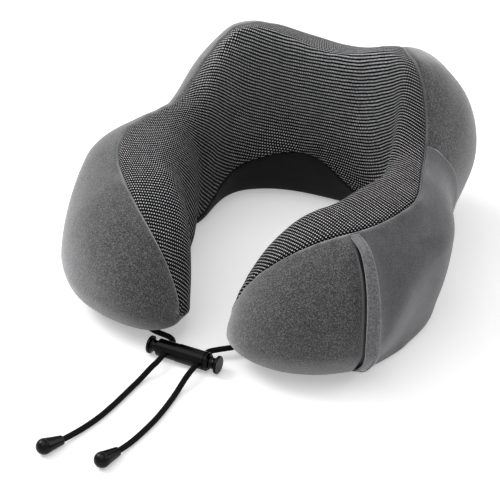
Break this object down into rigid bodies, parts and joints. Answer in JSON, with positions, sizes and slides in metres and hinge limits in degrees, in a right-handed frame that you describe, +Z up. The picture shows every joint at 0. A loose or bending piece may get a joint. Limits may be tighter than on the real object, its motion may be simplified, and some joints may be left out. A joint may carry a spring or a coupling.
{
  "type": "neck pillow",
  "caption": "U-shaped foam neck pillow with a knit top, velour sides, a flat side pocket, a back zip and a front drawstring with a two-ended cord lock.",
  "frame": {"origin": "middle of the pillow's box at the level of its flat base, on the neck opening's line of symmetry", "axes": "+Z up out of the neck opening, +Y to the back of the neck, -Y to the front gap, +X to the side with the pocket"},
  "size_m": [0.2587, 0.3753, 0.1357],
  "materials": {
    "foam": "matte",
    "knit": "matte",
    "lining": "matte",
    "velour": "matte",
    "zip_tape": "matte",
    "zip_coil": "satin",
    "zip_metal": "satin",
    "cord": "matte",
    "lock_plastic": "satin",
    "bell_plastic": "gloss",
    "spring_steel": "satin"
  },
  "bodies": {
    "pillow": {"foam_core": "foam", "knit_panel": "knit", "neck_panel": "lining", "side_panel_left": "velour", "side_panel_right": "velour", "base_panel": "lining", "pocket_panel": "velour", "pocket_hem": "velour", "zip_strip": "velour", "zip_tape_upper": "zip_tape", "zip_tape_lower": "zip_tape", "zip_teeth_upper": "zip_coil", "zip_teeth_lower": "zip_coil", "zip_stop_left": "zip_metal", "zip_stop_right": "zip_metal", "cord_left": "cord", "cord_right": "cord", "bell_left": "bell_plastic", "bell_right": "bell_plastic", "bell_cap_left": "bell_plastic", "bell_cap_right": "bell_plastic", "knot_left": "cord", "knot_right": "cord"},
    "cord_lock": {"lock_barrel": "lock_plastic", "lock_spring": "spring_steel"},
    "plunger_left": {"lock_plunger_left": "lock_plastic"},
    "plunger_right": {"lock_plunger_right": "lock_plastic"},
    "zip_slider": {"zip_slider": "zip_metal"},
    "zip_pull": {"zip_pull": "zip_metal"}
  },
  "joints": [
    {"name": "lock_slide", "type": "slide", "parent": "pillow", "child": "cord_lock", "axis": [0, -1, 0], "range_m": [0, 0.008]},
    {"name": "plunger_left_press", "type": "slide", "parent": "cord_lock", "child": "plunger_left", "axis": [1, 0, 0], "range_m": [0, 0.002], "stiffness_N_per_m": 500, "deforming": ["lock_spring"]},
    {"name": "plunger_right_press", "type": "slide", "parent": "cord_lock", "child": "plunger_right", "axis": [-1, 0, 0], "range_m": [0, 0.002], "stiffness_N_per_m": 500, "deforming": ["lock_spring"]},
    {"name": "zip_run", "type": "hinge", "parent": "pillow", "child": "zip_slider", "pos_m": [0, -0.0075, 0.015], "axis": [0, 0, 1], "range_deg": [0, 60]},
    {"name": "pull_swing", "type": "hinge", "parent": "zip_slider", "child": "zip_pull", "pos_m": [0.06775, 0.10984, 0.01423], "axis": [-0.126, -0.2183, -0.9677], "range_deg": [0, 170]}
  ]
}
